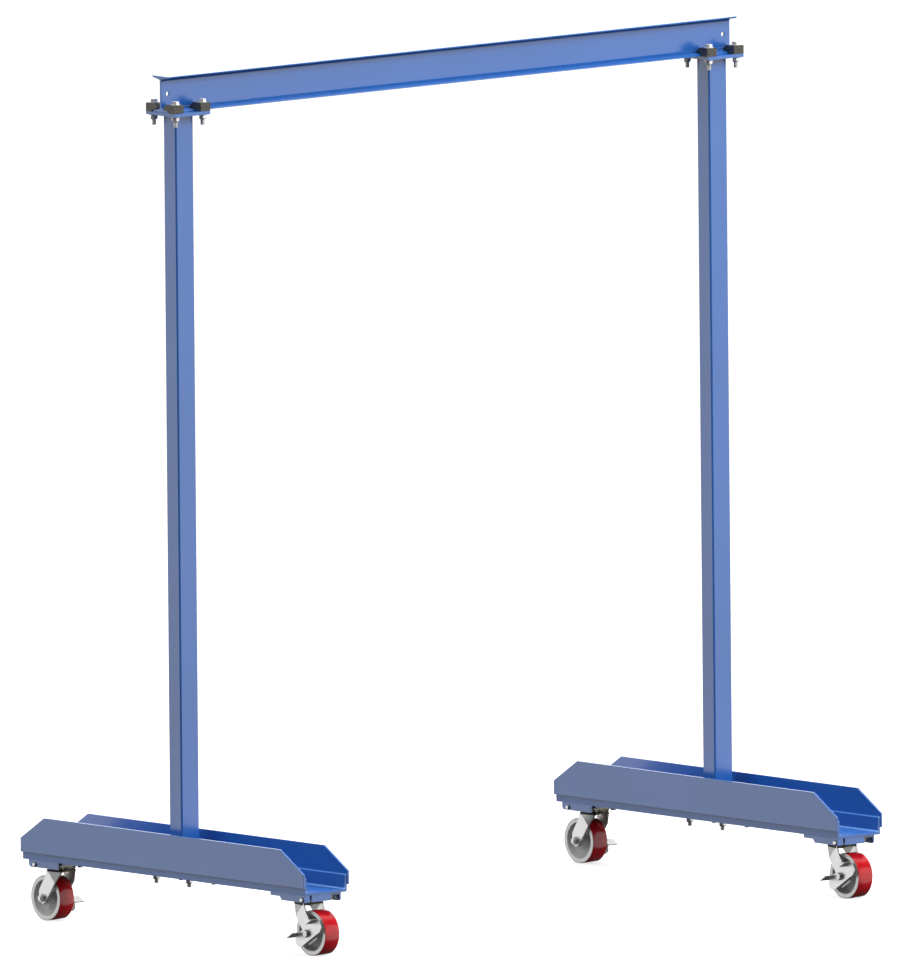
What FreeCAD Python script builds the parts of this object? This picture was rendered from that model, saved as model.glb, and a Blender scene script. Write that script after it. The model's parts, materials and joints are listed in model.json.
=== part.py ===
import FreeCAD, Part
import math
import os

# Portable gantry crane, all sizes in millimetres.
# X runs along the lifting beam, Y along the wheeled bases, Z up, floor at Z = 0.

# Lifting beam: a rolled section with tapered flanges, drilled near each end for a trolley stop.
BEAM_LENGTH = 2054.0
BEAM_DEPTH = 101.6
BEAM_FLANGE = 70.0
BEAM_WEB = 6.4
BEAM_FLANGE_TIP = 4.8
BEAM_FLANGE_ROOT = 10.4
BEAM_ROOT_RADIUS = 6.0
BEAM_TIP_RADIUS = 4.2
BEAM_BOTTOM = 2311.4
STOP_HOLE_RADIUS = 6.0
STOP_HOLE_INSET = 24.0

# Legs: a square top plate, a rectangular tube and a foot plate.
LEG_X = 963.5
TOP_PLATE_SIDE = 127.0
TOP_PLATE_THICK = 9.5
TUBE_X = 64.0
TUBE_Y = 54.5
TUBE_WALL = 4.0
TUBE_RADIUS = 5.0
FOOT_PLATE_X = 120.0
FOOT_PLATE_Y = 182.0
FOOT_PLATE_THICK = 12.0
FOOT_BOLT_X = 44.0
FOOT_BOLT_Y = 71.0

# Half-inch fasteners shared by the clamps and the feet.
BOLT_RADIUS = 6.35
BOLT_HOLE_RADIUS = 6.75
BOLT_ACROSS_FLATS = 19.05
BOLT_HEAD = 8.3
NUT_HEIGHT = 11.0
WASHER_RADIUS = 13.5
WASHER_THICK = 2.5

# Beam clamps: a cast block whose nose bears on the beam's bottom flange.
CLAMP_WIDTH = 35.0
CLAMP_HEIGHT = 23.4
CLAMP_TAIL = 14.0
CLAMP_FOOT = 10.5
CLAMP_NOSE = 33.0
CLAMP_BOLT_X = 48.5
CLAMP_BOLT_Y = 47.0
CLAMP_BOLT_END = 2272.5

# Wheeled bases: a channel with its flanges up and a tall plate welded outside each flange.
CHANNEL_LENGTH = 1222.0
CHANNEL_WIDTH = 152.4
CHANNEL_HEIGHT = 48.8
CHANNEL_WEB = 6.4
CHANNEL_FLANGE_TIP = 5.6
CHANNEL_FLANGE_ROOT = 9.4
CHANNEL_ROOT_RADIUS = 6.0
CHANNEL_BOTTOM = 174.4
SIDE_PLATE_LENGTH = 1228.4
SIDE_PLATE_HEIGHT = 101.6
SIDE_PLATE_THICK = 6.35
SIDE_PLATE_BOTTOM = 194.4
SIDE_CHAMFER_Y = 102.5
SIDE_CHAMFER_Z = 62.7
FOOT_BOLT_END = 150.0

# Caster brackets: a formed pan under each channel end with two ears and an end flap.
# The pan stops short of the base's end beside the plain ear, which hangs lower on the front pair.
SWIVEL_Y = 535.0
PAN_THICK = 9.5
PAN_INNER_Y = -73.0
PAN_OUTER_Y = 74.0
EAR_THICK = 6.0
EAR_BOTTOM = 154.5
FRONT_PLAIN_EAR_BOTTOM = 147.0
PLAIN_EAR_OUTER_Y = 50.5
CORNER_EAR_TOP_Y = -40.0
CORNER_EAR_BOTTOM_Y = -25.0
CORNER_RETURN = 20.2
FLAP_X0 = -20.7
FLAP_X1 = 49.5
RELIEF_WIDTH = 12.0
RELIEF_DEPTH = 14.0
EAR_BOLT_HEIGHT = 7.8
PLAIN_EAR_BOLT_Y = 24.0
CORNER_EAR_BOLT_Y = 65.0
EAR_BOLT_RADIUS = 4.0
EAR_BOLT_ACROSS_FLATS = 9.5
EAR_BOLT_HEAD = 4.5
EAR_WASHER_RADIUS = 7.0
EAR_WASHER_THICK = 1.2

# Caster mounting plate, ball race and kingpin.
CASTER_PLATE_X = 101.6
CASTER_PLATE_Y = 101.6
CASTER_PLATE_THICK = 8.0
CASTER_PLATE_TOP = CHANNEL_BOTTOM - PAN_THICK
CASTER_PLATE_BOTTOM = CASTER_PLATE_TOP - CASTER_PLATE_THICK
CASTER_SCREW_X = 33.3
CASTER_SCREW_Y = 40.0
CASTER_SCREW_RADIUS = 4.75
CASTER_SCREW_ACROSS_FLATS = 14.3
CASTER_SCREW_HEAD = 6.2
CUP_OUTER_RADIUS = 40.0
CUP_OUTER_WALL = 37.4
CUP_INNER_RADIUS = 22.0
CUP_INNER_WALL = 28.6
CUP_BOTTOM = 149.4
BALL_RADIUS = 3.95
BALL_PITCH_RADIUS = 33.0
BALL_COUNT = 22
BALL_Z = 152.85
KINGPIN_RADIUS = 8.0
KINGPIN_COLLAR_RADIUS = 12.0
KINGPIN_COLLAR_TOP = 140.4
KINGPIN_COLLAR_BOTTOM = 136.4

# Fork: a crown plate that narrows towards its leading end, a raised race and two legs.
# Each leg is flat up to a slanted fold and leans in above it to meet the crown's side.
CROWN_TOP = 146.0
CROWN_BOTTOM = 141.0
RACE_TOP = 148.6
RACE_RADIUS = 38.0
FORK_INNER = 31.0
FORK_OUTER = 36.0
FORK_TRAIL_TOP_Y = 22.0
FORK_LEAD_TOP_X = 24.0
FORK_LEAD_TOP_Y = -33.0
FORK_FOLD_Y = -12.5
FORK_FOLD_Z = 110.0
FORK_END_RADIUS = 15.0
TRAIL = 40.5

# Wheel: an iron centre in a moulded tyre, running on a sleeve.
WHEEL_RADIUS = 63.5
WHEEL_WIDTH = 50.8
TYRE_SEAT_RADIUS = 58.5
RIM_LIP_RADIUS = 62.4
RIM_LIP_X = 20.0
RIM_INNER_RADIUS = 51.0
WHEEL_WEB = 9.0
HUB_RADIUS = 16.0
HUB_LENGTH = 60.0
HUB_COLLAR_RADIUS = 20.0
HUB_COLLAR_THICK = 2.0
SLEEVE_RADIUS = 9.5
RUNNING_CLEARANCE = 0.05

# Axle bolt, its nut and the rocking brake lever on the head side.
AXLE_RADIUS = 6.35
AXLE_NUT_END = -49.0
AXLE_HEAD_X = 40.5
LEVER_X = 36.8
LEVER_THICK = 3.0
LEVER_LOW_Y = 8.0
LEVER_LOW_Z = 42.0
LEVER_LOW_RADIUS = 19.0
LEVER_HIGH_Y = 80.0
LEVER_HIGH_Z = 86.0
LEVER_HIGH_RADIUS = 20.0
LOW_TAB_REACH = 30.0
HIGH_TAB_REACH = 21.0
TAB_WIDTH = 27.0
LIP_X = 27.5

SIDES = (("left", -1), ("right", 1))
ENDS = (("front", -1), ("rear", 1))


def vec(x, y, z):
    return FreeCAD.Vector(x, y, z)


def box(x0, x1, y0, y1, z0, z1):
    return Part.makeBox(x1 - x0, y1 - y0, z1 - z0, vec(x0, y0, z0))


def rod(radius, length, x, y, z):
    return Part.makeCylinder(radius, length, vec(x, y, z), vec(0, 0, 1))


def rod_x(radius, x0, x1, y, z):
    return Part.makeCylinder(radius, x1 - x0, vec(x0, y, z), vec(1, 0, 0))


def ring(outer, inner, z0, z1):
    return rod(outer, z1 - z0, 0, 0, z0).cut(rod(inner, z1 - z0, 0, 0, z0))


def prism(points, direction):
    wire = Part.makePolygon(points + [points[0]])
    return Part.Face(wire).extrude(direction)


def prism_x(points, x0, x1):
    """Solid with an outline of (y, z) points, running from x0 to x1."""
    return prism([vec(x0, y, z) for y, z in points], vec(x1 - x0, 0, 0))


def hexagon(across_flats, height, x, y, z):
    """Hexagon whose flat face is at z and whose chamfered face is above it."""
    radius = across_flats / math.sqrt(3)
    corners = [math.radians(60 * i) for i in range(6)]
    outline = [vec(x + radius * math.cos(a), y + radius * math.sin(a), z) for a in corners]
    chamfer = Part.makeCone(
        radius + 0.2 * height, radius - 0.2 * height, height * 1.0001, vec(x, y, z), vec(0, 0, 1)
    )
    return prism(outline, vec(0, 0, height)).common(chamfer)


def hexagon_down(across_flats, height, x, y, z):
    """Hexagon whose flat face is at z and whose chamfered face is below it."""
    head = hexagon(across_flats, height, 0, 0, 0)
    head.rotate(vec(0, 0, 0), vec(1, 0, 0), 180)
    head.translate(vec(x, y, z))
    return head


def turned_to_x(shape, towards):
    """Turn a shape built along Z so that its +Z faces +X (towards = 1) or -X (towards = -1)."""
    turned = shape.copy()
    turned.rotate(vec(0, 0, 0), vec(0, 1, 0), 90 * towards)
    return turned


def washer(x, y, z):
    return rod(WASHER_RADIUS, WASHER_THICK, x, y, z).cut(
        rod(BOLT_HOLE_RADIUS, WASHER_THICK, x, y, z)
    )


def fillet_along(shape, direction, spots, radius):
    """Round the straight edges along one axis that pass through the given spots."""
    picked = []
    for edge in shape.Edges:
        run = edge.Vertexes[-1].Point - edge.Vertexes[0].Point
        if run.Length < 1e-6 or abs(run.dot(direction)) < 0.999 * run.Length:
            continue
        middle = edge.CenterOfMass
        flat = middle - direction * middle.dot(direction)
        if any((flat - spot).Length < 0.05 for spot in spots):
            picked.append(edge)
    return shape.makeFillet(radius, picked)


def rounded_tube_block(size_x, size_y, radius, z0, z1):
    block = box(-size_x / 2, size_x / 2, -size_y / 2, size_y / 2, z0, z1)
    spots = [vec(sx * size_x / 2, sy * size_y / 2, 0) for sx in (-1, 1) for sy in (-1, 1)]
    return fillet_along(block, vec(0, 0, 1), spots, radius)


def beam():
    half = BEAM_FLANGE / 2
    web = BEAM_WEB / 2
    low = BEAM_BOTTOM
    top = BEAM_BOTTOM + BEAM_DEPTH
    right = [
        (half, low),
        (half, low + BEAM_FLANGE_TIP),
        (web, low + BEAM_FLANGE_ROOT),
        (web, top - BEAM_FLANGE_ROOT),
        (half, top - BEAM_FLANGE_TIP),
        (half, top),
    ]
    left = [(-y, z) for y, z in reversed(right)]
    start = -BEAM_LENGTH / 2
    body = prism_x(right + left, start, -start)
    roots = [vec(0, s * web, low + BEAM_FLANGE_ROOT) for s in (-1, 1)]
    roots += [vec(0, s * web, top - BEAM_FLANGE_ROOT) for s in (-1, 1)]
    tips = [vec(0, s * half, low + BEAM_FLANGE_TIP) for s in (-1, 1)]
    tips += [vec(0, s * half, top - BEAM_FLANGE_TIP) for s in (-1, 1)]
    body = fillet_along(body, vec(1, 0, 0), roots, BEAM_ROOT_RADIUS)
    body = fillet_along(body, vec(1, 0, 0), tips, BEAM_TIP_RADIUS)
    for side in (-1, 1):
        hole = Part.makeCylinder(
            STOP_HOLE_RADIUS,
            2 * BEAM_WEB,
            vec(side * (BEAM_LENGTH / 2 - STOP_HOLE_INSET), -BEAM_WEB, low + BEAM_DEPTH / 2),
            vec(0, 1, 0),
        )
        body = body.cut(hole)
    return body


def top_plate():
    half = TOP_PLATE_SIDE / 2
    z0 = BEAM_BOTTOM - TOP_PLATE_THICK
    plate = box(-half, half, -half, half, z0, BEAM_BOTTOM)
    for x in (-CLAMP_BOLT_X, CLAMP_BOLT_X):
        for y in (-CLAMP_BOLT_Y, CLAMP_BOLT_Y):
            plate = plate.cut(rod(BOLT_HOLE_RADIUS, TOP_PLATE_THICK, x, y, z0))
    return plate


def column():
    z0 = CHANNEL_BOTTOM + CHANNEL_WEB + FOOT_PLATE_THICK
    z1 = BEAM_BOTTOM - TOP_PLATE_THICK
    outer = rounded_tube_block(TUBE_X, TUBE_Y, TUBE_RADIUS, z0, z1)
    inner = rounded_tube_block(
        TUBE_X - 2 * TUBE_WALL, TUBE_Y - 2 * TUBE_WALL, TUBE_RADIUS - TUBE_WALL, z0, z1
    )
    return outer.cut(inner)


def foot_plate():
    z0 = CHANNEL_BOTTOM + CHANNEL_WEB
    plate = box(
        -FOOT_PLATE_X / 2,
        FOOT_PLATE_X / 2,
        -FOOT_PLATE_Y / 2,
        FOOT_PLATE_Y / 2,
        z0,
        z0 + FOOT_PLATE_THICK,
    )
    for x in (-FOOT_BOLT_X, FOOT_BOLT_X):
        for y in (-FOOT_BOLT_Y, FOOT_BOLT_Y):
            plate = plate.cut(rod(BOLT_HOLE_RADIUS, FOOT_PLATE_THICK, x, y, z0))
    return plate


def base_channel():
    half = CHANNEL_WIDTH / 2
    floor = CHANNEL_BOTTOM + CHANNEL_WEB
    rim = CHANNEL_BOTTOM + CHANNEL_HEIGHT
    length = CHANNEL_LENGTH
    outline = [
        (-half, CHANNEL_BOTTOM),
        (half, CHANNEL_BOTTOM),
        (half, rim),
        (half - CHANNEL_FLANGE_TIP, rim),
        (half - CHANNEL_FLANGE_ROOT, floor),
        (CHANNEL_FLANGE_ROOT - half, floor),
        (CHANNEL_FLANGE_TIP - half, rim),
        (-half, rim),
    ]
    body = prism([vec(x, -length / 2, z) for x, z in outline], vec(0, length, 0))
    roots = [vec(s * (half - CHANNEL_FLANGE_ROOT), 0, floor) for s in (-1, 1)]
    body = fillet_along(body, vec(0, 1, 0), roots, CHANNEL_ROOT_RADIUS)
    for x in (-FOOT_BOLT_X, FOOT_BOLT_X):
        for y in (-FOOT_BOLT_Y, FOOT_BOLT_Y):
            body = body.cut(rod(BOLT_HOLE_RADIUS, CHANNEL_WEB, x, y, CHANNEL_BOTTOM))
    return body


def side_plate():
    """Plate standing on x = 0 and thickening towards +X, with both top corners cut off."""
    half = SIDE_PLATE_LENGTH / 2
    low = SIDE_PLATE_BOTTOM
    top = SIDE_PLATE_BOTTOM + SIDE_PLATE_HEIGHT
    outline = [
        (-half, low),
        (half, low),
        (half, top - SIDE_CHAMFER_Z),
        (half - SIDE_CHAMFER_Y, top),
        (SIDE_CHAMFER_Y - half, top),
        (-half, top - SIDE_CHAMFER_Z),
    ]
    return prism_x(outline, 0, SIDE_PLATE_THICK)


def caster_bracket(plain_bottom):
    """Pan centred on the swivel axis, with the base's end towards +Y and the brake towards +X."""
    half = CHANNEL_WIDTH / 2
    top = CHANNEL_BOTTOM
    pan = box(-half, half, PAN_INNER_Y, PLAIN_EAR_OUTER_Y, CASTER_PLATE_TOP, top)
    pan_end = box(FLAP_X0, half, PLAIN_EAR_OUTER_Y, PAN_OUTER_Y, CASTER_PLATE_TOP, top)
    slot = box(FLAP_X1, half - CORNER_RETURN, PLAIN_EAR_OUTER_Y, PAN_OUTER_Y, EAR_BOTTOM, top)
    plain_ear = box(-half, EAR_THICK - half, PAN_INNER_Y, PLAIN_EAR_OUTER_Y, plain_bottom, top)
    plain_ear = fillet_along(
        plain_ear, vec(1, 0, 0), [vec(0, PLAIN_EAR_OUTER_Y, plain_bottom)], 9.0
    )
    corner_ear = prism_x(
        [
            (CORNER_EAR_TOP_Y, top),
            (CORNER_EAR_BOTTOM_Y, EAR_BOTTOM),
            (PAN_OUTER_Y, EAR_BOTTOM),
            (PAN_OUTER_Y, top),
        ],
        half - EAR_THICK,
        half,
    )
    flap_y = PAN_OUTER_Y - EAR_THICK
    corner_return = box(half - CORNER_RETURN, half, flap_y, PAN_OUTER_Y, EAR_BOTTOM, top)
    corner_return = fillet_along(
        corner_return, vec(0, 1, 0), [vec(half - CORNER_RETURN, 0, EAR_BOTTOM)], 4.0
    )
    flap = box(FLAP_X0, FLAP_X1, flap_y, PAN_OUTER_Y, EAR_BOTTOM, top)
    body = pan.fuse([pan_end, plain_ear, corner_ear, corner_return, flap]).removeSplitter()
    relief = box(
        EAR_THICK - half,
        EAR_THICK - half + RELIEF_WIDTH,
        PAN_INNER_Y,
        PAN_INNER_Y + RELIEF_DEPTH,
        CASTER_PLATE_TOP,
        top,
    )
    body = body.cut([relief, slot])
    for x0, y, bottom in (
        (-half, PLAIN_EAR_BOLT_Y, plain_bottom),
        (half - EAR_THICK, CORNER_EAR_BOLT_Y, EAR_BOTTOM),
    ):
        hole = rod_x(EAR_BOLT_RADIUS, x0, x0 + EAR_THICK, y, bottom + EAR_BOLT_HEIGHT)
        body = body.cut(hole)
    for x in (-CASTER_SCREW_X, CASTER_SCREW_X):
        for y in (-CASTER_SCREW_Y, CASTER_SCREW_Y):
            body = body.cut(rod(CASTER_SCREW_RADIUS, PAN_THICK, x, y, CASTER_PLATE_TOP))
    return body


def ear_bolt():
    """Screw along X with its washer's seat at x = 0 and its shank towards -X."""
    head = hexagon(EAR_BOLT_ACROSS_FLATS, EAR_BOLT_HEAD, 0, 0, EAR_WASHER_THICK)
    shank = rod(EAR_BOLT_RADIUS, EAR_THICK + EAR_WASHER_THICK, 0, 0, -EAR_THICK)
    return turned_to_x(head.fuse(shank), 1)


def ear_washer():
    disc = rod(EAR_WASHER_RADIUS, EAR_WASHER_THICK, 0, 0, 0)
    return turned_to_x(disc.cut(rod(EAR_BOLT_RADIUS, EAR_WASHER_THICK, 0, 0, 0)), 1)


def caster_plate():
    body = box(
        -CASTER_PLATE_X / 2,
        CASTER_PLATE_X / 2,
        -CASTER_PLATE_Y / 2,
        CASTER_PLATE_Y / 2,
        CASTER_PLATE_BOTTOM,
        CASTER_PLATE_TOP,
    )
    corners = [
        vec(sx * CASTER_PLATE_X / 2, sy * CASTER_PLATE_Y / 2, 0)
        for sx in (-1, 1)
        for sy in (-1, 1)
    ]
    body = fillet_along(body, vec(0, 0, 1), corners, 6.0)
    outer_wall = ring(CUP_OUTER_RADIUS, CUP_OUTER_WALL, CUP_BOTTOM, CASTER_PLATE_BOTTOM)
    inner_wall = ring(CUP_INNER_WALL, CUP_INNER_RADIUS, CUP_BOTTOM, CASTER_PLATE_BOTTOM)
    body = body.fuse([outer_wall, inner_wall])
    for x in (-CASTER_SCREW_X, CASTER_SCREW_X):
        for y in (-CASTER_SCREW_Y, CASTER_SCREW_Y):
            hole = rod(CASTER_SCREW_RADIUS + 0.3, CASTER_PLATE_THICK, x, y, CASTER_PLATE_BOTTOM)
            body = body.cut(hole)
    return body.cut(rod(KINGPIN_RADIUS, CASTER_PLATE_THICK, 0, 0, CASTER_PLATE_BOTTOM))


def kingpin():
    shank = rod(KINGPIN_RADIUS, CASTER_PLATE_TOP - KINGPIN_COLLAR_BOTTOM, 0, 0, KINGPIN_COLLAR_BOTTOM)
    collar = rod(
        KINGPIN_COLLAR_RADIUS,
        KINGPIN_COLLAR_TOP - KINGPIN_COLLAR_BOTTOM,
        0,
        0,
        KINGPIN_COLLAR_BOTTOM,
    )
    return shank.fuse(collar)


def race_balls():
    balls = []
    for i in range(BALL_COUNT):
        angle = math.radians(360.0 * i / BALL_COUNT)
        x = BALL_PITCH_RADIUS * math.cos(angle)
        y = BALL_PITCH_RADIUS * math.sin(angle)
        balls.append(Part.makeSphere(BALL_RADIUS, vec(x, y, BALL_Z)))
    return balls


def caster_screw(x, y):
    head = hexagon_down(CASTER_SCREW_ACROSS_FLATS, CASTER_SCREW_HEAD, x, y, CASTER_PLATE_BOTTOM)
    reach = CHANNEL_BOTTOM - CASTER_PLATE_BOTTOM
    return head.fuse(rod(CASTER_SCREW_RADIUS, reach, x, y, CASTER_PLATE_BOTTOM))


def fork_leg(side):
    """Leg on the +X side (side = 1) or the -X side (side = -1) of the wheel."""
    outer = side * FORK_OUTER
    inward = vec(side * (FORK_INNER - FORK_OUTER), 0, 0)
    fold = vec(outer, FORK_FOLD_Y, FORK_FOLD_Z)
    trail_top = vec(outer, FORK_TRAIL_TOP_Y, CROWN_TOP)
    lead_top = vec(side * FORK_LEAD_TOP_X, FORK_LEAD_TOP_Y, CROWN_TOP)
    blade = prism(
        [
            fold,
            vec(outer, TRAIL - 0.87 * FORK_END_RADIUS, WHEEL_RADIUS - 0.49 * FORK_END_RADIUS),
            vec(outer, TRAIL, WHEEL_RADIUS),
            vec(outer, TRAIL + FORK_END_RADIUS, WHEEL_RADIUS),
            vec(outer, TRAIL + 15.5, WHEEL_RADIUS + 21.5),
            vec(outer, FORK_TRAIL_TOP_Y + 7.0, CROWN_TOP - 20.0),
            trail_top,
        ],
        inward,
    )
    lean = prism([fold, trail_top, lead_top], inward)
    end_x = sorted((outer, outer + inward.x))
    end = rod_x(FORK_END_RADIUS, end_x[0], end_x[1], TRAIL, WHEEL_RADIUS)
    return blade.fuse([lean, end])


def fork():
    crown = prism(
        [
            vec(FORK_OUTER, FORK_TRAIL_TOP_Y, CROWN_BOTTOM),
            vec(FORK_LEAD_TOP_X, FORK_LEAD_TOP_Y, CROWN_BOTTOM),
            vec(-FORK_LEAD_TOP_X, FORK_LEAD_TOP_Y, CROWN_BOTTOM),
            vec(-FORK_OUTER, FORK_TRAIL_TOP_Y, CROWN_BOTTOM),
        ],
        vec(0, 0, CROWN_TOP - CROWN_BOTTOM),
    )
    race = rod(RACE_RADIUS, RACE_TOP - CROWN_TOP, 0, 0, CROWN_TOP)
    body = crown.fuse([race, fork_leg(-1), fork_leg(1)]).removeSplitter()
    kingpin_hole = rod(
        KINGPIN_RADIUS + RUNNING_CLEARANCE, RACE_TOP - CROWN_BOTTOM, 0, 0, CROWN_BOTTOM
    )
    axle_hole = rod_x(AXLE_RADIUS + 0.1, -FORK_OUTER, FORK_OUTER, TRAIL, WHEEL_RADIUS)
    return body.cut([kingpin_hole, axle_hole])


def revolved(points):
    """Solid of revolution about X at the axle, from (x, radius) points."""
    outline = [vec(x, r, 0) for x, r in points]
    face = Part.Face(Part.makePolygon(outline + [outline[0]]))
    solid = face.revolve(vec(0, 0, 0), vec(1, 0, 0), 360)
    solid.translate(vec(0, TRAIL, WHEEL_RADIUS))
    return solid


def mirrored_outline(half_points):
    """Outline symmetric in x, from the points of its positive half."""
    return half_points + [(-x, r) for x, r in reversed(half_points)]


def wheel_core():
    face = WHEEL_WIDTH / 2 - 0.2
    body = revolved(
        mirrored_outline(
            [
                (RIM_LIP_X, TYRE_SEAT_RADIUS),
                (RIM_LIP_X, RIM_LIP_RADIUS),
                (face, RIM_LIP_RADIUS),
                (face, RIM_INNER_RADIUS),
                (WHEEL_WEB / 2 + 2.0, RIM_INNER_RADIUS - 2.5),
                (WHEEL_WEB / 2, RIM_INNER_RADIUS - 5.0),
                (WHEEL_WEB / 2, HUB_RADIUS + 5.0),
                (WHEEL_WEB / 2 + 2.0, HUB_RADIUS + 1.5),
                (HUB_LENGTH / 2 - 1.0, HUB_RADIUS),
                (HUB_LENGTH / 2, HUB_RADIUS - 1.0),
                (HUB_LENGTH / 2, SLEEVE_RADIUS),
            ]
        )
    )
    collar_x = HUB_COLLAR_THICK - HUB_LENGTH / 2
    collar = rod_x(HUB_COLLAR_RADIUS, -HUB_LENGTH / 2, collar_x, TRAIL, WHEEL_RADIUS)
    bore = rod_x(SLEEVE_RADIUS, -HUB_LENGTH / 2, collar_x, TRAIL, WHEEL_RADIUS)
    return body.fuse(collar.cut(bore)).removeSplitter()


def tyre():
    half = WHEEL_WIDTH / 2
    return revolved(
        mirrored_outline(
            [
                (RIM_LIP_X, TYRE_SEAT_RADIUS),
                (RIM_LIP_X, RIM_LIP_RADIUS),
                (half, RIM_LIP_RADIUS),
                (half - 0.5, WHEEL_RADIUS - 0.4),
                (half - 1.6, WHEEL_RADIUS),
            ]
        )
    )


def axle_sleeve():
    half = HUB_LENGTH / 2 + 0.3
    inner = AXLE_RADIUS + RUNNING_CLEARANCE
    return revolved(
        [(half, SLEEVE_RADIUS), (half, inner), (-half, inner), (-half, SLEEVE_RADIUS)]
    )


def axle_bolt():
    shank = rod_x(AXLE_RADIUS, AXLE_NUT_END, AXLE_HEAD_X, TRAIL, WHEEL_RADIUS)
    head = turned_to_x(hexagon(BOLT_ACROSS_FLATS, BOLT_HEAD, 0, 0, 0), 1)
    head.translate(vec(AXLE_HEAD_X, TRAIL, WHEEL_RADIUS))
    return shank.fuse(head)


def axle_nut():
    nut = turned_to_x(hexagon(BOLT_ACROSS_FLATS, 9.5, 0, 0, 0), -1)
    nut.translate(vec(-FORK_OUTER - 0.1, TRAIL, WHEEL_RADIUS))
    return nut.cut(rod_x(AXLE_RADIUS, AXLE_NUT_END, -FORK_OUTER, TRAIL, WHEEL_RADIUS))


def brake_lever():
    """Rocking plate with two foot tabs on its top edge and a lip hooked in under the fork."""
    x0 = LEVER_X
    x1 = LEVER_X + LEVER_THICK
    run_y = LEVER_HIGH_Y - LEVER_LOW_Y
    run_z = LEVER_HIGH_Z - LEVER_LOW_Z
    length = math.hypot(run_y, run_z)
    tilt = math.degrees(math.atan2(run_z, run_y))

    def bar(along0, along1, up0, up1, bx0, bx1):
        part = box(bx0, bx1, along0, along1, up0, up1)
        part.rotate(vec(0, 0, 0), vec(1, 0, 0), tilt)
        part.translate(vec(0, LEVER_LOW_Y, LEVER_LOW_Z))
        return part

    plate = bar(0, length, -LEVER_LOW_RADIUS, LEVER_LOW_RADIUS, x0, x1)
    low_end = rod_x(LEVER_LOW_RADIUS, x0, x1, LEVER_LOW_Y, LEVER_LOW_Z)
    high_end = rod_x(LEVER_HIGH_RADIUS, x0, x1, LEVER_HIGH_Y, LEVER_HIGH_Z)
    half = TAB_WIDTH / 2
    tab_low = LEVER_LOW_RADIUS - 3.5
    low_tab = bar(-half, half, tab_low, tab_low + 3.0, x0, x1 + LOW_TAB_REACH)
    high_tab = bar(length - half, length + half, tab_low, tab_low + 3.0, x0, x1 + HIGH_TAB_REACH)
    fold = bar(11.0, 60.0, -LEVER_LOW_RADIUS, 2.5 - LEVER_LOW_RADIUS, LIP_X, x1)
    lip = bar(20.0, 60.0, -LEVER_LOW_RADIUS - 6.5, 2.5 - LEVER_LOW_RADIUS, LIP_X, LIP_X + 2.5)
    body = plate.fuse([low_end, high_end, low_tab, high_tab, fold, lip]).removeSplitter()
    pivot = rod_x(AXLE_RADIUS + RUNNING_CLEARANCE, x0, x1, TRAIL, WHEEL_RADIUS)
    return body.cut(pivot)


def beam_clamp():
    """Clamp with its bolt on the origin and its nose towards +Y."""
    low = BEAM_BOTTOM
    flange_edge = CLAMP_BOLT_Y - BEAM_FLANGE / 2
    slope = (BEAM_FLANGE_ROOT - BEAM_FLANGE_TIP) / (BEAM_FLANGE / 2 - BEAM_WEB / 2)
    seat = low + BEAM_FLANGE_TIP + 0.05
    nose_seat = seat + slope * (CLAMP_NOSE - flange_edge)
    top = low + CLAMP_HEIGHT
    outline = [
        (-CLAMP_TAIL, low),
        (CLAMP_FOOT, low),
        (CLAMP_FOOT, seat),
        (flange_edge, seat),
        (CLAMP_NOSE, nose_seat),
        (CLAMP_NOSE, low + 13.0),
        (CLAMP_NOSE - 12.0, top),
        (-CLAMP_TAIL, top),
    ]
    block = prism_x(outline, -CLAMP_WIDTH / 2, CLAMP_WIDTH / 2)
    return block.cut(rod(BOLT_HOLE_RADIUS, CLAMP_HEIGHT, 0, 0, low))


def placed(shape, x, y, half_turn=False):
    """Copy of a shape, turned half a turn about Z when asked, then moved in X and Y."""
    copy = shape.copy()
    if half_turn:
        copy.rotate(vec(0, 0, 0), vec(0, 0, 1), 180)
    copy.translate(vec(x, y, 0))
    return copy


def clamp_bolt(x, y):
    seat = BEAM_BOTTOM + CLAMP_HEIGHT + WASHER_THICK
    head = hexagon(BOLT_ACROSS_FLATS, BOLT_HEAD, x, y, seat)
    return head.fuse(rod(BOLT_RADIUS, seat - CLAMP_BOLT_END, x, y, CLAMP_BOLT_END))


def foot_bolt(x, y):
    seat = CHANNEL_BOTTOM + CHANNEL_WEB + FOOT_PLATE_THICK + WASHER_THICK
    head = hexagon(BOLT_ACROSS_FLATS, BOLT_HEAD, x, y, seat)
    return head.fuse(rod(BOLT_RADIUS, seat - FOOT_BOLT_END, x, y, FOOT_BOLT_END))


def nut_below(x, y, z):
    nut = hexagon_down(BOLT_ACROSS_FLATS, NUT_HEIGHT, x, y, z)
    return nut.cut(rod(BOLT_RADIUS, NUT_HEIGHT, x, y, z - NUT_HEIGHT))


def export(node, shape):
    shape.exportStep("parts/" + node + ".step")


def export_group(node, shapes):
    export(node, Part.makeCompound(shapes))


os.makedirs("parts", exist_ok=True)

export("beam", beam())

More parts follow.
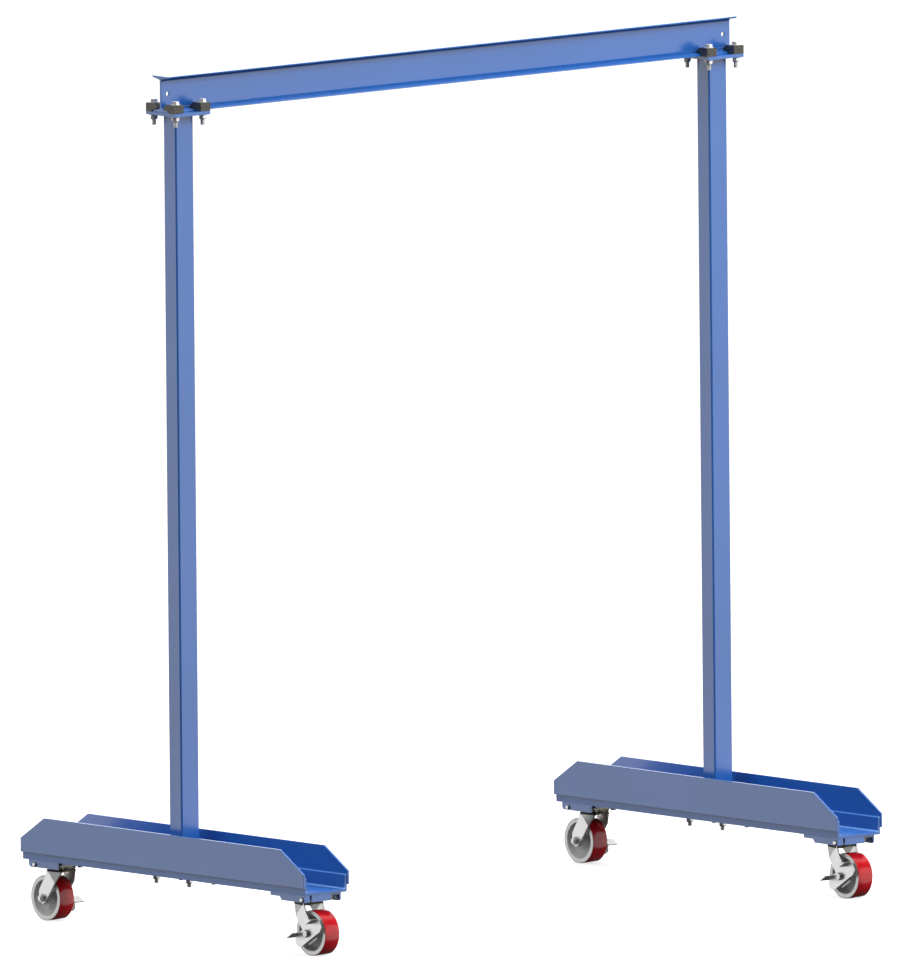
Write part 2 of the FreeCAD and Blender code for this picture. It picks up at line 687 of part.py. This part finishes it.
clamps = []
clamp_bolts = []
foot_bolts = []
washers = []
nuts = []
for side, sign in SIDES:
    centre = sign * LEG_X
    export("top_plate_" + side, placed(top_plate(), centre, 0))
    export("column_" + side, placed(column(), centre, 0))
    export("foot_plate_" + side, placed(foot_plate(), centre, 0))
    export("base_channel_" + side, placed(base_channel(), centre, 0))
    export("side_plate_" + side + "_east", placed(side_plate(), centre + CHANNEL_WIDTH / 2, 0))
    export(
        "side_plate_" + side + "_west",
        placed(side_plate(), centre - CHANNEL_WIDTH / 2, 0, half_turn=True),
    )
    for x in (centre - CLAMP_BOLT_X, centre + CLAMP_BOLT_X):
        for y in (-CLAMP_BOLT_Y, CLAMP_BOLT_Y):
            clamps.append(placed(beam_clamp(), x, y, half_turn=y > 0))
            clamp_bolts.append(clamp_bolt(x, y))
            plate_bottom = BEAM_BOTTOM - TOP_PLATE_THICK
            washers.append(washer(x, y, BEAM_BOTTOM + CLAMP_HEIGHT))
            washers.append(washer(x, y, plate_bottom - WASHER_THICK))
            nuts.append(nut_below(x, y, plate_bottom - WASHER_THICK))
    for x in (centre - FOOT_BOLT_X, centre + FOOT_BOLT_X):
        for y in (-FOOT_BOLT_Y, FOOT_BOLT_Y):
            foot_bolts.append(foot_bolt(x, y))
            washers.append(washer(x, y, CHANNEL_BOTTOM + CHANNEL_WEB + FOOT_PLATE_THICK))
            washers.append(washer(x, y, CHANNEL_BOTTOM - WASHER_THICK))
            nuts.append(nut_below(x, y, CHANNEL_BOTTOM - WASHER_THICK))
export_group("beam_clamps", clamps)
export_group("clamp_bolts", clamp_bolts)
export_group("foot_bolts", foot_bolts)
export_group("washers", washers)
export_group("nuts", nuts)

caster_parts = {
    "caster_plate": caster_plate(),
    "fork": fork(),
    "axle_bolt": axle_bolt(),
    "axle_nut": axle_nut(),
    "axle_sleeve": axle_sleeve(),
    "wheel_core": wheel_core(),
    "tyre": tyre(),
    "brake_lever": brake_lever(),
}
plain_ear_bottoms = {"front": FRONT_PLAIN_EAR_BOTTOM, "rear": EAR_BOTTOM}
brackets = {end: caster_bracket(bottom) for end, bottom in plain_ear_bottoms.items()}
ear_bolts = []
ear_washers = []
caster_screws = []
kingpins = []
balls = []
for side, x_sign in SIDES:
    for end, y_sign in ENDS:
        x = x_sign * LEG_X
        y = y_sign * SWIVEL_Y
        turn = y_sign < 0
        for name, shape in caster_parts.items():
            export(name + "_" + side + "_" + end, placed(shape, x, y, turn))
        export("caster_bracket_" + side + "_" + end, placed(brackets[end], x, y, turn))
        for piece, group in ((ear_bolt(), ear_bolts), (ear_washer(), ear_washers)):
            corner = placed(piece, CHANNEL_WIDTH / 2, CORNER_EAR_BOLT_Y)
            corner.translate(vec(0, 0, EAR_BOTTOM + EAR_BOLT_HEIGHT))
            plain = placed(piece, -CHANNEL_WIDTH / 2, PLAIN_EAR_BOLT_Y, half_turn=True)
            plain.translate(vec(0, 0, plain_ear_bottoms[end] + EAR_BOLT_HEIGHT))
            group += [placed(corner, x, y, turn), placed(plain, x, y, turn)]
        for screw_x in (-CASTER_SCREW_X, CASTER_SCREW_X):
            for screw_y in (-CASTER_SCREW_Y, CASTER_SCREW_Y):
                caster_screws.append(placed(caster_screw(screw_x, screw_y), x, y, turn))
        kingpins.append(placed(kingpin(), x, y, turn))
        balls += [placed(ball, x, y, turn) for ball in race_balls()]
export_group("ear_bolts", ear_bolts)
export_group("ear_washers", ear_washers)
export_group("caster_screws", caster_screws)
export_group("kingpins", kingpins)
export_group("race_balls", balls)
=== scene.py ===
import json
import math

import bmesh
import bpy
from mathutils import Matrix, Quaternion, Vector


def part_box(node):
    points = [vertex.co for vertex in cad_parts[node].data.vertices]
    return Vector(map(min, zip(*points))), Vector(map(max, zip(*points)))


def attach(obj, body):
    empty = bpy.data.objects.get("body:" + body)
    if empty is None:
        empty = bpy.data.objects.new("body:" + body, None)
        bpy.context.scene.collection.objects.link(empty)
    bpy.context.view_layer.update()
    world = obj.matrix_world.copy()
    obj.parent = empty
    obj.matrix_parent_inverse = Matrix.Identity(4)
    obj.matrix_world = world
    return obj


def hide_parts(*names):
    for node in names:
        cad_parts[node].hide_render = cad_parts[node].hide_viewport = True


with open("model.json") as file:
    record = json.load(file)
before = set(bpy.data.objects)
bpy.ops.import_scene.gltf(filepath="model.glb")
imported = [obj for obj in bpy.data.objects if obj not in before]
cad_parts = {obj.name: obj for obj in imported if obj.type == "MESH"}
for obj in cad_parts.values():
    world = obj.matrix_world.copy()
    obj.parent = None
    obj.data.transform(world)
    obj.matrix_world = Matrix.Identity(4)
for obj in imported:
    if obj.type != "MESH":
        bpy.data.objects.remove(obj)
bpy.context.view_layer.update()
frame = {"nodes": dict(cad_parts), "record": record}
nodes = frame["nodes"]

MM = 0.001
SIDES = ("left", "right")
ENDS = ("front", "rear")

# The view: turned from +Y towards +X, a little from above, with a slight roll.
VIEW_AZIMUTH = 39.741
VIEW_ELEVATION = 6.798
VIEW_ROLL = 0.507
VIEW_SPAN = 2.7066
VIEW_AIM = Vector((0.0059, 0.0, 1.1773))
VIEW_DISTANCE = 9.0

# Half-inch bolts: the same sizes as the CAD fasteners, with a 13-per-inch thread.
BOLT_RADIUS = 6.35 * MM
THREAD_ROOT = 5.45 * MM
THREAD_PITCH = 25.4 / 13 * MM
BOLT_ACROSS_FLATS = 19.05 * MM
BOLT_HEAD = 8.3 * MM
CLAMP_BOLT_X = 48.5 * MM
CLAMP_BOLT_Y = 47.0 * MM
FOOT_BOLT_X = 44.0 * MM
FOOT_BOLT_Y = 71.0 * MM
THREAD_LENGTH = 32.0 * MM
AXLE_HEAD_SEAT = 40.5 * MM
AXLE_NUT_END = -49.0 * MM
AXLE_THREAD_LENGTH = 18.0 * MM

# Painted shade on the casters: the fork near its swivel axis above RACE_BOTTOM, and the ear
# bolts nearer to the leg than EAR_INSIDE.
RACE_RADIUS = 41.0 * MM
RACE_BOTTOM = 140.5 * MM
EAR_INSIDE = 71.0 * MM
PAINTED_SHADE = (0.045, 0.043, 0.036)

# Painted highlight lines along each channel: the rims and the inner corners.
# Each is the nearest and furthest distance from the leg, then the lowest and highest height.
HIGHLIGHT_LINES = (
    (62.0 * MM, 78.0 * MM, 221.4 * MM, 225.0 * MM),
    (60.0 * MM, 70.0 * MM, 182.6 * MM, 185.8 * MM),
)
HIGHLIGHT_BLUE = (0.17, 0.42, 0.90)

# How wide the edges of each kind of CAD node are rounded, in millimetres.
EDGE_WIDTHS = {
    "beam": 0.8,
    "top_plate": 0.9,
    "base_channel": 1.0,
    "side_plate": 0.9,
    "foot_plate": 0.8,
    "caster_bracket": 1.1,
    "caster_plate": 0.6,
    "fork": 1.2,
    "brake_lever": 0.8,
    "beam_clamps": 1.4,
    "washers": 0.5,
    "nuts": 0.4,
    "tyre": 0.5,
    "wheel_core": 0.4,
    "ear_bolts": 0.4,
    "ear_washers": 0.3,
    "axle_nut": 0.4,
    "caster_screws": 0.4,
    "kingpins": 0.5,
}

# Studio: each panel is its azimuth, elevation, radius and soft edge in degrees, then its light.
PANELS = (
    (-50.0, 0.0, 26.0, 8.0, 1.1),
    (130.0, -4.0, 20.0, 9.0, 1.06),
    (50.0, 12.0, 18.0, 20.0, 2.4),
    (40.0, 65.0, 30.0, 14.0, 0.85),
    (-140.0, 70.0, 24.0, 22.0, 0.8),
)
AMBIENT = 0.06
BACKDROP = 1.3
FLOOR_REACH = 60.0
CAMERA_REACH = 200.0

# Lamps: name, place, what it points at, size in metres, watts.
LAMPS = (
    ("key", (2.5, -7.0, 6.0), (0.0, 0.0, 0.6), (4.0, 4.0), 700.0),
    ("fill", (-7.0, 2.0, 5.0), (0.0, 0.0, 0.8), (4.0, 4.0), 190.0),
    ("overhead", (0.0, 0.0, 8.0), (0.0, 0.0, 0.0), (6.0, 4.0), 400.0),
)


# ---------------------------------------------------------------- node helpers


class Finish:
    """A Principled material with short calls for the nodes that the finishes share."""

    def __init__(self, name, roughness, metallic=0.0, **sockets):
        self.material = bpy.data.materials.new(name)
        self.material.use_nodes = True
        self.tree = self.material.node_tree
        self.shader = self.tree.nodes["Principled BSDF"]
        self.shader.inputs["Roughness"].default_value = roughness
        self.shader.inputs["Metallic"].default_value = metallic
        for socket, value in sockets.items():
            self.shader.inputs[socket.replace("_", " ")].default_value = value
        coordinates = self.tree.nodes.new("ShaderNodeTexCoord")
        self.place = coordinates.outputs["Object"]

    def link(self, out, into):
        self.tree.links.new(out, into)

    def stretched(self, scale):
        """Object coordinates scaled by a different factor along each axis."""
        node = self.tree.nodes.new("ShaderNodeMapping")
        node.inputs["Scale"].default_value = scale
        self.link(self.place, node.inputs["Vector"])
        return node.outputs["Vector"]

    def noise(self, scale, detail=2.0, rough=0.5, place=None):
        """Noise whose features repeat about scale times per metre."""
        node = self.tree.nodes.new("ShaderNodeTexNoise")
        node.inputs["Scale"].default_value = scale
        node.inputs["Detail"].default_value = detail
        node.inputs["Roughness"].default_value = rough
        self.link(place or self.place, node.inputs["Vector"])
        return node.outputs["Fac"]

    def grains(self, scale):
        """Cell pattern for zinc crystals and cast grain."""
        node = self.tree.nodes.new("ShaderNodeTexVoronoi")
        node.inputs["Scale"].default_value = scale
        self.link(self.place, node.inputs["Vector"])
        return node

    def vector(self, operation, first, second=None):
        """Vector arithmetic between a node's output and a constant."""
        node = self.tree.nodes.new("ShaderNodeVectorMath")
        node.operation = operation
        self.link(first, node.inputs[0])
        if second is not None:
            node.inputs[1].default_value = second
        return node.outputs["Value" if operation == "LENGTH" else "Vector"]

    def distance(self, point, along, place=None):
        """Distance from point, counting only the axes whose factor in along is 1."""
        offset = self.vector("SUBTRACT", place or self.place, point)
        return self.vector("LENGTH", self.vector("MULTIPLY", offset, along))

    def height(self):
        """Height above the floor at rest."""
        return self.distance((0.0, 0.0, 0.0), (0.0, 0.0, 1.0))

    def from_leg(self, leg_x):
        """Distance along X from the nearer of the two legs."""
        folded = self.vector("ABSOLUTE", self.place)
        return self.distance((leg_x, 0.0, 0.0), (1.0, 0.0, 0.0), place=folded)

    def remap(self, value, low, high, to_low, to_high):
        node = self.tree.nodes.new("ShaderNodeMapRange")
        node.interpolation_type = "SMOOTHSTEP"
        for socket, number in zip(("From Min", "From Max", "To Min", "To Max"),
                                  (low, high, to_low, to_high)):
            node.inputs[socket].default_value = number
        self.link(value, node.inputs["Value"])
        return node.outputs["Result"]

    def within(self, value, low, high, soft):
        """1 where value is between low and high, falling to 0 over soft on either side."""
        above = self.remap(value, low - soft, low, 0.0, 1.0)
        below = self.remap(value, high, high + soft, 1.0, 0.0)
        return self.times(above, below)

    def times(self, first, second):
        node = self.tree.nodes.new("ShaderNodeMath")
        node.operation = "MULTIPLY"
        self.link(first, node.inputs[0])
        self.link(second, node.inputs[1])
        return node.outputs[0]

    def mix(self, factor, first, second):
        """Colour between two colours, each a tuple or another node's output."""
        node = self.tree.nodes.new("ShaderNodeMix")
        node.data_type = "RGBA"
        self.link(factor, node.inputs["Factor"])
        for socket, colour in ((node.inputs[6], first), (node.inputs[7], second)):
            if isinstance(colour, tuple):
                socket.default_value = (*colour, 1.0)
            else:
                self.link(colour, socket)
        return node.outputs[2]

    def colour(self, out):
        self.link(out, self.shader.inputs["Base Color"])

    def roughness(self, out):
        self.link(out, self.shader.inputs["Roughness"])

    def bump(self, height, distance, strength=1.0, under=None):
        node = self.tree.nodes.new("ShaderNodeBump")
        node.inputs["Distance"].default_value = distance
        node.inputs["Strength"].default_value = strength
        self.link(height, node.inputs["Height"])
        if under is not None:
            self.link(under, node.inputs["Normal"])
        self.link(node.outputs["Normal"], self.shader.inputs["Normal"])
        return node.outputs["Normal"]


# ------------------------------------------------------------------- materials


def blue_paint(name="blue_paint", sheen=0.20, leg_x=None):
    """Glossy powder coat: slight orange peel, small drifts in depth of colour.

    With leg_x it is the channels' coat, with painted highlight lines on the rims and inner corners.
    """
    paint = Finish(name, roughness=0.24, IOR=2.0)
    drift = paint.remap(paint.noise(2.3, detail=3.0), 0.3, 0.7, 0.0, 1.0)
    coat = paint.mix(drift, (0.016, 0.110, 0.40), (0.019, 0.121, 0.43))
    if leg_x is not None:
        beside = paint.from_leg(leg_x)
        height = paint.height()
        # Painted highlights: pale lines on the channel rims and inner corners.
        for near, far, low, high in HIGHLIGHT_LINES:
            across = paint.within(beside, near, far, MM)
            highlight_line = paint.times(across, paint.within(height, low, high, 0.5 * MM))
            coat = paint.mix(highlight_line, coat, HIGHLIGHT_BLUE)
    paint.colour(coat)
    paint.roughness(paint.remap(paint.noise(900.0, detail=3.0), 0.3, 0.7, sheen, sheen + 0.07))
    paint.bump(paint.noise(240.0, detail=2.0), 0.05 * MM, 0.35)
    return paint.material


def cast_black():
    """Oxidised cast iron: grainy, with brownish bloom on the high grains."""
    cast = Finish("cast_black", roughness=0.45, IOR=1.75)
    bloom = cast.remap(cast.noise(160.0, detail=5.0, rough=0.7), 0.42, 0.62, 0.0, 1.0)
    cast.colour(cast.mix(bloom, (0.030, 0.027, 0.020), (0.085, 0.076, 0.058)))
    cast.roughness(cast.remap(cast.noise(420.0, detail=3.0), 0.3, 0.7, 0.38, 0.58))
    grain = cast.bump(cast.noise(520.0, detail=4.0, rough=0.65), 0.5 * MM, 0.6)
    cast.bump(cast.noise(90.0, detail=2.0), 0.7 * MM, 0.35, under=grain)
    return cast.material


def zinc_bright(name="zinc_bright", leg_x=None):
    """Bright zinc plate on the bought fasteners.

    With leg_x it is the ear bolts' plate, with painted shade on the shank tips inside the brackets.
    """
    zinc = Finish(name, roughness=0.22, metallic=0.65)
    cloud = zinc.remap(zinc.noise(140.0, detail=3.0), 0.35, 0.65, 0.0, 1.0)
    plate = zinc.mix(cloud, (0.82, 0.82, 0.81), (0.93, 0.93, 0.92))
    if leg_x is not None:
        # Painted shade: the shank tips inside the brackets are coloured dark.
        shaded_tip = zinc.remap(zinc.from_leg(leg_x), EAR_INSIDE, EAR_INSIDE + MM, 1.0, 0.0)
        plate = zinc.mix(shaded_tip, plate, PAINTED_SHADE)
    zinc.colour(plate)
    zinc.roughness(zinc.remap(zinc.noise(700.0, detail=2.0), 0.3, 0.7, 0.16, 0.30))
    zinc.bump(zinc.noise(900.0, detail=2.0), 0.03 * MM, 0.4)
    return zinc.material


def zinc_satin(name="zinc_satin", swivel=None):
    """Satin zinc on pressed steel: fine crystals and faint rolling lines.

    With swivel it is a fork's plate, with painted shade on the raceway around that upright axis.
    """
    zinc = Finish(name, roughness=0.34, metallic=1.0)
    crystals = zinc.grains(330.0)
    tone = zinc.remap(crystals.outputs["Distance"], 0.0, 0.9, 0.0, 1.0)
    plate = zinc.mix(tone, (0.70, 0.70, 0.69), (0.79, 0.79, 0.78))
    if swivel is not None:
        # Painted shade: the plate is coloured dark near the swivel axis above RACE_BOTTOM, where the
        # bracket shades the raceway.
        reach = zinc.distance(swivel, (1.0, 1.0, 0.0))
        near = zinc.remap(reach, RACE_RADIUS, RACE_RADIUS + MM, 1.0, 0.0)
        high = zinc.remap(zinc.height(), RACE_BOTTOM - MM, RACE_BOTTOM, 0.0, 1.0)
        plate = zinc.mix(zinc.times(near, high), plate, PAINTED_SHADE)
    zinc.colour(plate)
    lines = zinc.noise(60.0, detail=4.0, place=zinc.stretched((1.0, 1.0, 14.0)))
    zinc.roughness(zinc.remap(lines, 0.3, 0.7, 0.28, 0.42))
    zinc.bump(zinc.noise(600.0, detail=3.0), 0.04 * MM, 0.4)
    return zinc.material


def phosphated_steel():
    """Oiled grey phosphate on the swivel's plate, screws and kingpin."""
    steel = Finish("phosphated_steel", roughness=0.42, metallic=1.0)
    mottle = steel.remap(steel.noise(210.0, detail=4.0), 0.35, 0.65, 0.0, 1.0)
    steel.colour(steel.mix(mottle, (0.17, 0.17, 0.14), (0.27, 0.27, 0.22)))
    steel.roughness(steel.remap(steel.noise(500.0, detail=3.0), 0.3, 0.7, 0.36, 0.50))
    steel.bump(steel.noise(600.0, detail=3.0), 0.05 * MM, 0.4)
    return steel.material


def red_urethane():
    """Moulded polyurethane tread, slightly translucent-looking and semi-gloss."""
    tread = Finish("red_urethane", roughness=0.3, Coat_Weight=0.25, Coat_Roughness=0.08)
    cloud = tread.remap(tread.noise(38.0, detail=4.0), 0.35, 0.65, 0.0, 1.0)
    tread.colour(tread.mix(cloud, (0.42, 0.005, 0.010), (0.52, 0.008, 0.015)))
    tread.roughness(tread.remap(tread.noise(330.0, detail=4.0), 0.3, 0.7, 0.13, 0.22))
    tread.bump(tread.noise(420.0, detail=3.0), 0.04 * MM, 0.3)
    return tread.material


def wheel_iron(centre, axle_height):
    """Grey iron wheel centre: turned bright on the rim faces, sand-cast inside."""
    iron = Finish("wheel_iron", roughness=0.4)
    radius = iron.distance((0.0, centre, axle_height), (0.0, 1.0, 1.0))
    turned = iron.remap(radius, 50.2 * MM, 50.9 * MM, 0.0, 1.0)
    grit = iron.remap(iron.noise(300.0, detail=4.0, rough=0.65), 0.35, 0.65, 0.0, 1.0)
    cast = iron.mix(grit, (0.60, 0.60, 0.59), (0.76, 0.76, 0.75))
    groove = iron.remap(radius, 58.9 * MM, 59.3 * MM, 0.0, 1.0)
    rim = iron.mix(groove, (0.72, 0.73, 0.72), (0.58, 0.59, 0.58))
    iron.colour(iron.mix(turned, cast, rim))
    iron.link(iron.remap(turned, 0.0, 1.0, 0.05, 0.4), iron.shader.inputs["Metallic"])
    iron.roughness(iron.remap(turned, 0.0, 1.0, 0.62, 0.30))
    iron.bump(iron.noise(520.0, detail=4.0), 0.25 * MM, 0.4)
    return iron.material


def ground_steel():
    """Ground and hardened steel of the balls and sleeves."""
    steel = Finish("ground_steel", roughness=0.12, metallic=1.0)
    tint = steel.remap(steel.noise(200.0), 0.3, 0.7, 0.0, 1.0)
    steel.colour(steel.mix(tint, (0.60, 0.60, 0.60), (0.68, 0.68, 0.67)))
    return steel.material


def pale_floor():
    floor = Finish("pale_floor", roughness=0.9)
    tone = floor.remap(floor.noise(0.8, detail=3.0), 0.3, 0.7, 0.0, 1.0)
    floor.colour(floor.mix(tone, (0.50, 0.50, 0.50), (0.54, 0.54, 0.54)))
    floor.shader.inputs["Specular IOR Level"].default_value = 0.0
    floor.shader.inputs["Emission Color"].default_value = (1.0, 1.0, 1.0, 1.0)
    floor.shader.inputs["Emission Strength"].default_value = 0.7
    return floor.material


# -------------------------------------------------------------- mesh and edges


def new_object(name, mesh, material, smooth_angle=35.0):
    piece = bpy.data.objects.new(name, mesh)
    bpy.context.scene.collection.objects.link(piece)
    mesh.materials.append(material)
    for face in mesh.polygons:
        face.use_smooth = True
    mesh.set_sharp_from_angle(angle=math.radians(smooth_angle))
    return piece


def soften(piece, width, segments=2, angle=28.0):
    """Round a CAD node's edges by width without touching its own mesh."""
    weld = piece.modifiers.new("weld", "WELD")
    weld.merge_threshold = 0.002 * MM
    flat = piece.modifiers.new("flat", "DECIMATE")
    flat.decimate_type = "DISSOLVE"
    flat.angle_limit = math.radians(0.6)
    bevel = piece.modifiers.new("bevel", "BEVEL")
    bevel.width = width
    bevel.segments = segments
    bevel.limit_method = "ANGLE"
    bevel.angle_limit = math.radians(angle)
    bevel.use_clamp_overlap = True
    bevel.harden_normals = True
    bevel.miter_outer = "MITER_ARC"


def threaded_bolt(head_z, end_z, thread_length):
    """Hexagon bolt along Z: head above head_z, shank down to end_z, thread on its low part."""
    build = bmesh.new()
    around = 36
    turns = [2 * math.pi * i / around for i in range(around)]

    def loop(radii, z):
        return [build.verts.new((r * math.cos(a), r * math.sin(a), z)) for r, a in zip(radii, turns)]

    def skin(low, high):
        for i in range(around):
            j = (i + 1) % around
            build.faces.new((low[i], low[j], high[j], high[i]))

    def plain(radius):
        return [radius] * around

    def hexagon(apothem):
        return [apothem / math.cos(a % (math.pi / 3) - math.pi / 6) for a in turns]

    def thread(z, crest):
        radii = []
        for a in turns:
            phase = (z / THREAD_PITCH - a / (2 * math.pi)) % 1.0
            height = max(0.0, min(1.0, 1.35 * (1 - abs(2 * phase - 1)) - 0.15))
            radii.append(THREAD_ROOT + (crest - THREAD_ROOT) * height)
        return radii

    steps = round(thread_length / THREAD_PITCH * 8)
    chamfer = 1.2 * MM
    rings = [loop(plain(0.55 * THREAD_ROOT), end_z), loop(plain(THREAD_ROOT * 0.97), end_z)]
    for i in range(1, steps + 1):
        z = end_z + thread_length * i / steps
        lead = min(1.0, (z - end_z) / chamfer, 0.2 + (end_z + thread_length - z) / chamfer)
        rings.append(loop(thread(z, THREAD_ROOT + (BOLT_RADIUS - THREAD_ROOT) * lead), z))
    shank_z = end_z + thread_length + 0.8 * MM
    rings += [loop(plain(BOLT_RADIUS), shank_z), loop(plain(BOLT_RADIUS), head_z)]
    half = BOLT_ACROSS_FLATS / 2
    corner = half / math.cos(math.pi / 6)
    rings.append(loop(plain(half * 0.97), head_z))
    rings.append(loop(plain(half * 0.97), head_z + 0.4 * MM))
    rings.append(loop(hexagon(half), head_z + 0.4 * MM))
    top = head_z + BOLT_HEAD

    def chamfered(z):
        limit = half * 0.96 + (top - z) / math.tan(math.radians(30))
        return [min(r, limit) for r in hexagon(half)]

    first = top - (corner - half * 0.96) * math.tan(math.radians(30))
    for i in range(7):
        z = first + (top - first) * i / 6
        rings.append(loop(chamfered(z), z))
    rings.append(loop(plain(half * 0.62), top))
    for low, high in zip(rings, rings[1:]):
        skin(low, high)
    build.faces.new(list(reversed(rings[0])))
    build.faces.new(rings[-1])
    mesh = bpy.data.meshes.new("bolt")
    build.to_mesh(mesh)
    build.free()
    return mesh


def copies(name, mesh, places, material):
    """One object holding a copy of mesh at each place."""
    build = bmesh.new()
    for x, y in places:
        start = len(build.verts)
        build.from_mesh(mesh)
        build.verts.ensure_lookup_table()
        bmesh.ops.translate(build, vec=(x, y, 0.0), verts=build.verts[start:])
    joined = bpy.data.meshes.new(name)
    build.to_mesh(joined)
    build.free()
    return new_object(name, joined, material)


# ------------------------------------------------------------------ the object

finishes = {
    "frame_paint": blue_paint(),
    "clamp_iron": cast_black(),
    "zinc_fastener": zinc_bright(),
    "zinc_steel": zinc_satin(),
    "phosphated_steel": phosphated_steel(),
    "race_ball": ground_steel(),
    "wheel_tread": red_urethane(),
}
slot_of = {part["node"]: part["material_slot"] for part in frame["record"]["subparts"]}


def middle(name):
    low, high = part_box(name)
    return (low + high) / 2


def dress_cad_nodes():
    """Give every CAD node its finish and softened edges."""
    for name, piece in nodes.items():
        if name.startswith("wheel_core"):
            wheel = middle(name)
            material = wheel_iron(wheel.y, wheel.z)
        elif name.startswith("base_channel"):
            material = blue_paint("channel_paint_highlit", 0.38, middle("top_plate_right").x)
        elif name.startswith("fork"):
            material = zinc_satin("fork_zinc_painted_shade", middle(name.replace("fork", "caster_plate")))
        elif name == "ear_bolts":
            material = zinc_bright("ear_bolt_zinc_painted_shade", middle("top_plate_right").x)
        else:
            material = finishes[slot_of[name]]
        piece.data.materials.clear()
        piece.data.materials.append(material)
    for name, piece in nodes.items():
        for stem, width in EDGE_WIDTHS.items():
            if name == stem or name.startswith(stem + "_"):
                soften(piece, width * MM)


def add_threaded_bolts():
    legs = [middle("top_plate_" + side).x for side in SIDES]
    for node, reach_x, reach_y in (
        ("clamp_bolts", CLAMP_BOLT_X, CLAMP_BOLT_Y),
        ("foot_bolts", FOOT_BOLT_X, FOOT_BOLT_Y),
    ):
        low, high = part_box(node)
        mesh = threaded_bolt(high.z - BOLT_HEAD, low.z, THREAD_LENGTH)
        places = [
            (leg + x, y) for leg in legs for x in (-reach_x, reach_x) for y in (-reach_y, reach_y)
        ]
        piece = copies("threaded_" + node, mesh, places, finishes["zinc_fastener"])
        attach(piece, "frame")
        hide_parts(node)


def add_axle_bolts():
    for side in SIDES:
        for end in ENDS:
            caster = side + "_" + end
            mesh = threaded_bolt(AXLE_HEAD_SEAT, AXLE_NUT_END, AXLE_THREAD_LENGTH)
            turn = Matrix.Rotation(math.radians(90 if end == "rear" else -90), 4, "Y")
            wheel = middle("tyre_" + caster)
            mesh.transform(Matrix.Translation(wheel) @ turn)
            piece = new_object("threaded_axle_" + caster, mesh, finishes["zinc_steel"])
            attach(piece, "caster_" + caster)
            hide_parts("axle_bolt_" + caster)


dress_cad_nodes()
add_threaded_bolts()
add_axle_bolts()


# ---------------------------------------------------------------------- studio


def add_floor():
    mesh = bpy.data.meshes.new("floor")
    reach = FLOOR_REACH
    corners = [(-reach, -reach, 0), (reach, -reach, 0), (reach, reach, 0), (-reach, reach, 0)]
    mesh.from_pydata(corners, [], [(0, 1, 2, 3)])
    floor = new_object("floor", mesh, pale_floor())
    floor.visible_glossy = False
    floor.visible_diffuse = False


def add_studio():
    """White surround whose reflections come from panels beside and above the crane."""
    world = bpy.data.worlds.new("studio")
    bpy.context.scene.world = world
    world.use_nodes = True
    tree = world.node_tree
    background = tree.nodes["Background"]
    ways = tree.nodes.new("ShaderNodeTexCoord").outputs["Generated"]

    def math_node(operation, first, second):
        node = tree.nodes.new("ShaderNodeMath")
        node.operation = operation
        for socket, value in zip(node.inputs, (first, second)):
            if isinstance(value, (int, float)):
                socket.default_value = value
            else:
                tree.links.new(value, socket)
        return node.outputs[0]

    def ramp(value, low, high, height):
        node = tree.nodes.new("ShaderNodeMapRange")
        node.interpolation_type = "SMOOTHSTEP"
        node.inputs["From Min"].default_value = low
        node.inputs["From Max"].default_value = high
        node.inputs["To Max"].default_value = height
        tree.links.new(value, node.inputs["Value"])
        return node.outputs["Result"]

    def towards(azimuth, elevation):
        a, e = math.radians(azimuth), math.radians(elevation)
        node = tree.nodes.new("ShaderNodeVectorMath")
        node.operation = "DOT_PRODUCT"
        node.inputs[1].default_value = (
            math.cos(a) * math.cos(e),
            math.sin(a) * math.cos(e),
            math.sin(e),
        )
        tree.links.new(ways, node.inputs[0])
        return node.outputs["Value"]

    def panel(azimuth, elevation, wide, soft, light):
        return ramp(
            towards(azimuth, elevation),
            math.cos(math.radians(wide + soft)),
            math.cos(math.radians(wide)),
            light,
        )

    total = AMBIENT
    for sizes in PANELS:
        total = math_node("ADD", panel(*sizes), total)
    seen = tree.nodes.new("ShaderNodeLightPath").outputs["Is Camera Ray"]
    mixed = math_node("MAXIMUM", total, math_node("MULTIPLY", seen, BACKDROP))
    tree.links.new(mixed, background.inputs["Strength"])
    background.inputs["Color"].default_value = (1.0, 1.0, 1.0, 1.0)


def add_area_light(name, place, aim, size, watts):
    light = bpy.data.lights.new(name, "AREA")
    light.shape = "RECTANGLE"
    light.size, light.size_y = size
    light.energy = watts
    lamp = bpy.data.objects.new(name, light)
    lamp.location = place
    lamp.rotation_mode = "QUATERNION"
    lamp.rotation_quaternion = (Vector(aim) - Vector(place)).to_track_quat("-Z", "Y")
    bpy.context.scene.collection.objects.link(lamp)
    lamp.visible_camera = False
    lamp.visible_glossy = False


def add_camera():
    azimuth, elevation = math.radians(VIEW_AZIMUTH), math.radians(VIEW_ELEVATION)
    ahead = Vector(
        (
            math.sin(azimuth) * math.cos(elevation),
            math.cos(azimuth) * math.cos(elevation),
            -math.sin(elevation),
        )
    )
    camera = bpy.data.objects.new("camera", bpy.data.cameras.new("camera"))
    bpy.context.scene.collection.objects.link(camera)
    camera.data.type = "ORTHO"
    camera.data.ortho_scale = VIEW_SPAN
    camera.data.clip_end = CAMERA_REACH
    camera.location = VIEW_AIM - ahead * VIEW_DISTANCE
    camera.rotation_mode = "QUATERNION"
    roll = Quaternion((0, 0, 1), -math.radians(VIEW_ROLL))
    camera.rotation_quaternion = ahead.to_track_quat("-Z", "Y") @ roll
    bpy.context.scene.camera = camera


add_floor()
add_studio()
for lamp in LAMPS:
    add_area_light(*lamp)
add_camera()
bpy.context.scene.view_settings.view_transform = "Standard"
